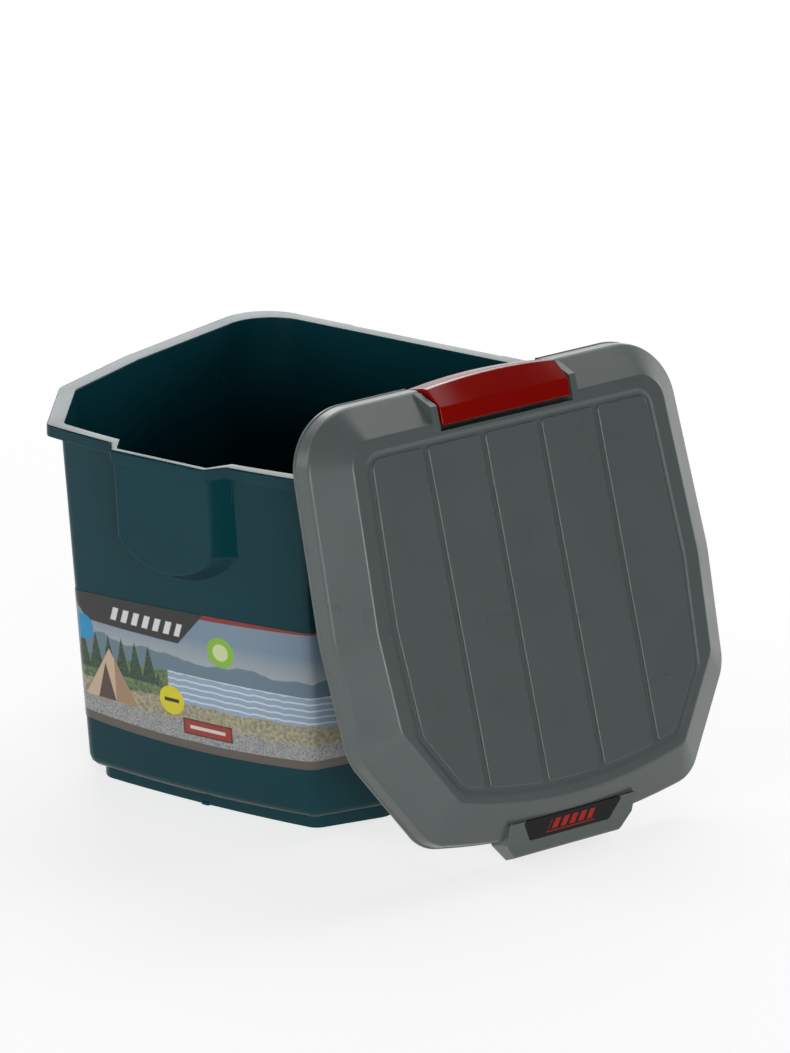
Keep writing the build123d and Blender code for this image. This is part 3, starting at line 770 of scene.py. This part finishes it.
def plus(tree, *terms):
    """Sum of terms of the form (factor, socket or number)."""
    total = 0.0
    for factor, term in terms:
        step = add_node(tree, "ShaderNodeMath", {0: term, 1: factor, 2: total}, operation="MULTIPLY_ADD")
        total = step.outputs[0]
    return total


def greatest(tree, *terms):
    """Greatest of the terms: the distance to the part that all shapes share."""
    total = terms[0]
    for term in terms[1:]:
        total = add_node(tree, "ShaderNodeMath", {0: total, 1: term}, operation="MAXIMUM").outputs[0]
    return total


def away_from(tree, place, *terms):
    """How far the sum of some terms is from a place, to either side."""
    offset = plus(tree, *terms, (1, -place))
    return add_node(tree, "ShaderNodeMath", {0: offset}, operation="ABSOLUTE").outputs[0]


def disc(tree, u, v, centre, radius):
    """Distance to a disc."""
    point = add_node(tree, "ShaderNodeCombineXYZ", {"X": u, "Y": v}).outputs[0]
    away = add_node(tree, "ShaderNodeVectorMath", {0: point, 1: (*centre, 0)}, operation="DISTANCE")
    return plus(tree, (1, away.outputs["Value"]), (1, -radius))


def slanted_box(tree, u, v, centre, half_sizes, slant=0.0):
    """Distance to a box whose sides lean by slant millimetres for each millimetre of height."""
    across = away_from(tree, centre[0] - slant * centre[1], (1, u), (-slant, v))
    upward = away_from(tree, centre[1], (1, v))
    return greatest(
        tree, plus(tree, (1, across), (1, -half_sizes[0])), plus(tree, (1, upward), (1, -half_sizes[1]))
    )


def repeated(tree, term, pitch):
    """Distance from the middle of each repeat."""
    wrapped = add_node(tree, "ShaderNodeMath", {0: term, 1: pitch, 2: 0.0}, operation="WRAP").outputs[0]
    return away_from(tree, pitch / 2, (1, wrapped))


def layered(tree, base, layers):
    """Colour of the base with each layer's colour laid over it where its mask is 1."""
    for mask, colour in layers:
        mix = add_node(tree, "ShaderNodeMix", {"Factor": mask}, data_type="RGBA")
        for place, value in ((6, base), (7, colour)):
            if isinstance(value, bpy.types.NodeSocket):
                tree.links.new(value, mix.inputs[place])
            else:
                mix.inputs[place].default_value = value
        base = mix.outputs[2]
    return base


def ridge(tree, u, height, swing, wavelength, seed):
    """Height of a line of hills over u, in millimetres like its swing and its wavelength."""
    along = add_node(tree, "ShaderNodeCombineXYZ", {"X": u, "Y": seed}).outputs[0]
    noise = add_node(
        tree,
        "ShaderNodeTexNoise",
        {"Vector": along, "Scale": 1 / wavelength, "Detail": 3.0, "Roughness": 0.45},
    )
    return plus(tree, (2 * swing, noise.outputs["Fac"]), (1, height - swing))


def speckled(tree, place, grain_mm, dark, light):
    """Colour that varies between two shades in grains of a size."""
    noise = add_node(tree, "ShaderNodeTexNoise", {"Vector": place, "Scale": 1000 / grain_mm, "Detail": 2.0})
    spread = add_node(
        tree, "ShaderNodeMapRange", {"Value": noise.outputs["Fac"], "From Min": 0.35, "From Max": 0.65}
    ).outputs["Result"]
    return layered(tree, linear(dark), [(spread, linear(light))])


def printed_film():
    """Offset print on glossy polypropylene film: a plain camp scene of hills, lake, pines and a tent under a
    charcoal band. The ink is matt in itself, and the film over it gives an even sheen."""
    material = bpy.data.materials.new("printed_polypropylene_film")
    material.use_nodes = True
    tree = material.node_tree
    shader = tree.nodes["Principled BSDF"]
    place = add_node(tree, "ShaderNodeTexCoord").outputs["Object"]
    axes = add_node(tree, "ShaderNodeSeparateXYZ", {0: place})
    x = plus(tree, (1 / MM, axes.outputs["X"]))
    v = plus(tree, (1 / MM, axes.outputs["Z"]))
    width = away_from(tree, 0, (1, x))
    front = add_node(tree, "ShaderNodeMath", {0: width, 1: LABEL_CORNER}, operation="MINIMUM").outputs[0]
    beyond = greatest(tree, width, LABEL_CORNER)
    span = plus(tree, (1, front), (1 / LABEL_FOLD, beyond), (1, -LABEL_CORNER / LABEL_FOLD))
    side = add_node(tree, "ShaderNodeMath", {0: x}, operation="SIGN").outputs[0]
    u = plus(tree, (side, span))

    def below(line):
        return shape_mask(tree, plus(tree, (1, v), (-1, line)), 0.4)

    dusk = add_node(tree, "ShaderNodeMapRange", {"Value": v, "From Min": 92, "From Max": 125})
    sky = layered(tree, linear("c9cdc6"), [(dusk.outputs[0], linear("8298ab"))])
    far_hills = ridge(tree, u, 108, 9, 30, 3.0)
    near_hills = ridge(tree, u, 94, 8, 22, 7.0)
    shore = ridge(tree, u, 76, 4, 18, 11.0)
    ground = ridge(tree, u, 63, 3, 14, 17.0)
    lake = greatest(
        tree, plus(tree, (-1, u), (1, -16)), plus(tree, (1, v), (1, -97)), plus(tree, (-1, v), (1, 70))
    )
    ripple = repeated(tree, plus(tree, (1, v), (0.6, ridge(tree, u, 0, 3, 9, 5.0))), 4.5)
    pines = greatest(
        tree,
        plus(tree, (1, repeated(tree, plus(tree, (1, u), (1, 3)), 11.5)), (0.24, v), (1, -0.24 * 111)),
        plus(tree, (-1, v), (1, 84)),
        plus(tree, (1, u), (1, 24)),
    )
    tent_foot = plus(tree, (-1, v), (1, 64))
    tent_sides = plus(tree, (1, away_from(tree, -66, (1, u))), (0.62, v), (1, -0.62 * 101))
    tent = greatest(tree, tent_sides, tent_foot)
    tent_shade = greatest(tree, tent, plus(tree, (-1, u), (1, -62)))
    door_sides = plus(tree, (1, away_from(tree, -70, (1, u))), (0.3, v), (1, -0.3 * 90))
    tent_door = greatest(tree, door_sides, tent_foot)
    band = greatest(
        tree,
        plus(tree, (-1, v), (1, 118)),
        plus(tree, (1, u), (-0.9, v), (1, 112)),
        plus(tree, (-1, u), (-0.9, v), (1, 22)),
    )
    stripe_top = plus(tree, (-1, v), (1, 138.2), (0.036, u))
    bars = greatest(
        tree,
        plus(tree, (1, repeated(tree, plus(tree, (1, u), (-0.35, v)), 9.0)), (1, -2.4)),
        slanted_box(tree, u, v, (-34, 127.5), (31, 4.6), 0.35),
    )
    x_squared = add_node(tree, "ShaderNodeMath", {0: x, 1: x}, operation="MULTIPLY").outputs[0]
    strip_top = LABEL_LOW - LABEL_SAG + STRIP_HEIGHT
    strip = plus(tree, (1, v), (-LABEL_SAG / LABEL_SPAN**2, x_squared), (1, -strip_top))
    layers = [
        (below(far_hills), linear("6f8796")),
        (below(near_hills), speckled(tree, place, 3.0, "46624a", "7d8f5c")),
        (shape_mask(tree, lake), linear("9db4cc")),
        (shape_mask(tree, greatest(tree, lake, plus(tree, (1, ripple), (1, -0.6)))), linear("dfe7ee")),
        (shape_mask(tree, pines), speckled(tree, place, 2.0, "22382c", "3c5a3e")),
        (below(shore), speckled(tree, place, 2.4, "8f8a72", "bdb598")),
        (below(ground), speckled(tree, place, 1.3, "85868a", "b9b8b6")),
        (shape_mask(tree, tent), linear("d9bfa2")),
        (shape_mask(tree, tent_shade), linear("b08f73")),
        (shape_mask(tree, tent_door), linear("57443a")),
        (shape_mask(tree, stripe_top), linear("8d2f2b")),
        (shape_mask(tree, band), linear("262626")),
        (shape_mask(tree, bars), linear("ececec")),
        (shape_mask(tree, disc(tree, u, v, (28, 118), 10.5)), linear("8fc43f")),
        (shape_mask(tree, disc(tree, u, v, (28, 118), 6.0)), linear("dbe9b0")),
        (shape_mask(tree, disc(tree, u, v, (-88, 112), 9.0)), linear("1e9bd0")),
        (shape_mask(tree, disc(tree, u, v, (-14, 76), 10.0)), linear("e8dd23")),
        (shape_mask(tree, slanted_box(tree, u, v, (-14, 76), (6.0, 1.3))), linear("262626")),
        (shape_mask(tree, slanted_box(tree, u, v, (14, 60), (19.5, 5.6))), linear("262626")),
        (shape_mask(tree, slanted_box(tree, u, v, (14, 60), (18.6, 4.7))), linear("a8382c")),
        (shape_mask(tree, slanted_box(tree, u, v, (14, 60), (14, 1.2))), linear("e8e2dc")),
        (shape_mask(tree, strip), linear("635c55")),
    ]
    tree.links.new(layered(tree, sky, layers), shader.inputs["Base Color"])
    shader.inputs["Roughness"].default_value = 0.22
    shader.inputs["IOR"].default_value = 1.49
    return material


def plate_material(colours):
    """Black printed polyester plate with five slanted red bars: a plain motif that reads as a badge."""
    material = bpy.data.materials.new("printed_polyester_plate")
    material.use_nodes = True
    tree = material.node_tree
    shader = tree.nodes["Principled BSDF"]
    place = add_node(tree, "ShaderNodeTexCoord").outputs["Object"]
    turned = add_node(tree, "ShaderNodeMapping", {"Vector": place}, vector_type="TEXTURE")
    turned.inputs["Location"].default_value = LID_PLACE.translation * MM
    turned.inputs["Rotation"].default_value = LID_PLACE.to_euler()
    axes = add_node(tree, "ShaderNodeSeparateXYZ", {0: turned.outputs[0]})
    x = plus(tree, (1 / MM, axes.outputs["X"]))
    y = plus(tree, (1 / MM, axes.outputs["Y"]))
    bars = greatest(
        tree,
        plus(tree, (1, repeated(tree, plus(tree, (1, x), (-0.3, y)), 7.0)), (1, -2.1)),
        slanted_box(tree, x, y, (0, -145.5), (17.5, 3.2), 0.3),
    )
    line = slanted_box(tree, x, y, (0, -150.2), (19.5, 0.3))
    layers = [(shape_mask(tree, shape, 0.12), colours.plate_bars) for shape in (bars, line)]
    tree.links.new(layered(tree, colours.plate, layers), shader.inputs["Base Color"])
    shader.inputs["Roughness"].default_value = 0.3
    shader.inputs["IOR"].default_value = 1.55
    shader.inputs["Specular IOR Level"].default_value = 0.12
    return material


class BUCKET_OT_small_pieces(bpy.types.Operator):
    """Gives the bail, the plate and the printed sheet their materials"""

    bl_idname = "bucket.small_pieces"
    bl_label = "Small pieces"

    def execute(self, context):
        colours = context.scene.bucket_colours
        red = moulded_plastic("satin_polypropylene_red", colours.red, 0.28, sheen=0.3)
        dress(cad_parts["bail_handle"], red, 0.6)
        dress(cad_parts["badge_plate"], plate_material(colours))
        dress(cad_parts["label_band"], printed_film())
        return {"FINISHED"}


def area_light(name, place, target, size, power):
    """Rectangular soft light that looks at a target."""
    lamp = bpy.data.lights.new(name, "AREA")
    lamp.shape = "RECTANGLE"
    lamp.size, lamp.size_y = size
    lamp.energy = power
    holder = bpy.data.objects.new(name, lamp)
    holder.location = place
    holder.rotation_euler = (Vector(target) - Vector(place)).to_track_quat("-Z", "Y").to_euler()
    bpy.context.scene.collection.objects.link(holder)


def seen_rays(tree):
    """Rays that show a surface itself: from the camera, in a reflection or through something clear."""
    path = add_node(tree, "ShaderNodeLightPath")
    return greatest(tree, *(path.outputs[f"Is {kind} Ray"] for kind in ("Camera", "Glossy", "Transmission")))


class BUCKET_OT_stage(bpy.types.Operator):
    """Builds the pale floor, the soft lights, the world and the camera"""

    bl_idname = "bucket.stage"
    bl_label = "Stage"

    def execute(self, context):
        scene = context.scene
        mesh = bmesh.new()
        bmesh.ops.create_grid(mesh, x_segments=1, y_segments=1, size=FLOOR_HALF_SIZE)
        floor = solid("floor", mesh)
        paint = bpy.data.materials.new("matt_paper_floor")
        paint.use_nodes = True
        tree = paint.node_tree
        shader = tree.nodes["Principled BSDF"]
        shader.inputs["Base Color"].default_value = scene.bucket_colours.floor
        shader.inputs["Roughness"].default_value = 0.9
        shader.inputs["Specular IOR Level"].default_value = 0.1
        lift = add_node(tree, "ShaderNodeEmission", {"Color": (1, 1, 1, 1), "Strength": FLOOR_LIFT})
        none = add_node(tree, "ShaderNodeEmission", {"Color": (0, 0, 0, 1), "Strength": 0.0})
        pick = add_node(
            tree, "ShaderNodeMixShader", {0: seen_rays(tree), 1: none.outputs[0], 2: lift.outputs[0]}
        )
        both = add_node(tree, "ShaderNodeAddShader", {0: shader.outputs[0], 1: pick.outputs[0]})
        tree.links.new(both.outputs[0], tree.nodes["Material Output"].inputs["Surface"])
        floor.data.materials.append(paint)
        for softbox in SOFTBOXES:
            area_light(*softbox)
        world = bpy.data.worlds.new("studio")
        scene.world = world
        world.use_nodes = True
        tree = world.node_tree
        air = tree.nodes["Background"]
        air.inputs["Color"].default_value = AIR_COLOUR
        air.inputs["Strength"].default_value = AIR_STRENGTH
        white = add_node(tree, "ShaderNodeBackground", {"Color": (1, 1, 1, 1), "Strength": 1.0})
        outward = add_node(tree, "ShaderNodeTexCoord").outputs["Generated"]
        away = (-sin(CAMERA_AZIMUTH), cos(CAMERA_AZIMUTH), 0.0)
        facing = add_node(tree, "ShaderNodeVectorMath", {0: outward, 1: away}, operation="DOT_PRODUCT")
        backdrop = add_node(
            tree,
            "ShaderNodeMapRange",
            {"Value": facing.outputs["Value"], "From Min": 0.45, "From Max": 0.75},
            interpolation_type="SMOOTHSTEP",
        )
        seen = add_node(
            tree,
            "ShaderNodeMath",
            {0: backdrop.outputs["Result"], 1: seen_rays(tree)},
            operation="MULTIPLY",
        )
        path = add_node(tree, "ShaderNodeLightPath")
        shown = greatest(tree, seen.outputs[0], path.outputs["Is Camera Ray"])
        mix = add_node(tree, "ShaderNodeMixShader", {0: shown, 1: air.outputs[0], 2: white.outputs[0]})
        tree.links.new(mix.outputs[0], tree.nodes["World Output"].inputs["Surface"])
        camera = bpy.data.objects.new("camera", bpy.data.cameras.new("camera"))
        scene.collection.objects.link(camera)
        camera.data.sensor_fit = "HORIZONTAL"
        camera.data.sensor_width = 36.0
        camera.data.lens = CAMERA_LENS
        camera.data.clip_end = 50.0
        back = Vector((0, -1, 0))
        back.rotate(Euler((-CAMERA_ELEVATION, 0, CAMERA_AZIMUTH)))
        camera.location = CAMERA_TARGET + back * CAMERA_DISTANCE
        aim = (-back).to_track_quat("-Z", "Y").to_matrix() @ Matrix.Rotation(CAMERA_ROLL, 3, "Z")
        camera.rotation_euler = aim.to_euler()
        scene.camera = camera
        scene.view_settings.view_transform = "Standard"
        return {"FINISHED"}


class BUCKET_PT_panel(bpy.types.Panel):
    """Lists the steps that dress the bucket"""

    bl_label = "Bucket"
    bl_idname = "BUCKET_PT_panel"
    bl_space_type = "VIEW_3D"
    bl_region_type = "UI"
    bl_category = "Bucket"

    def draw(self, context):
        column = self.layout.column()
        for step in STEPS:
            column.operator(step.bl_idname)
        for name in BucketColours.__annotations__:
            column.prop(context.scene.bucket_colours, name)
        for name in BucketSizes.__annotations__:
            column.prop(context.scene.bucket_sizes, name)


STEPS = (BUCKET_OT_body, BUCKET_OT_lid, BUCKET_OT_latch, BUCKET_OT_small_pieces, BUCKET_OT_stage)
CLASSES = (BucketColours, BucketSizes, *STEPS, BUCKET_PT_panel)


def register():
    for cls in CLASSES:
        bpy.utils.register_class(cls)
    bpy.types.Scene.bucket_colours = PointerProperty(type=BucketColours)
    bpy.types.Scene.bucket_sizes = PointerProperty(type=BucketSizes)


def unregister():
    del bpy.types.Scene.bucket_sizes
    del bpy.types.Scene.bucket_colours
    for cls in reversed(CLASSES):
        bpy.utils.unregister_class(cls)


def main():
    """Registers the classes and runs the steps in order."""
    register()
    bpy.ops.bucket.body()
    bpy.ops.bucket.lid()
    bpy.ops.bucket.latch()
    bpy.ops.bucket.small_pieces()
    bpy.ops.bucket.stage()


if __name__ == "__main__":
    main()
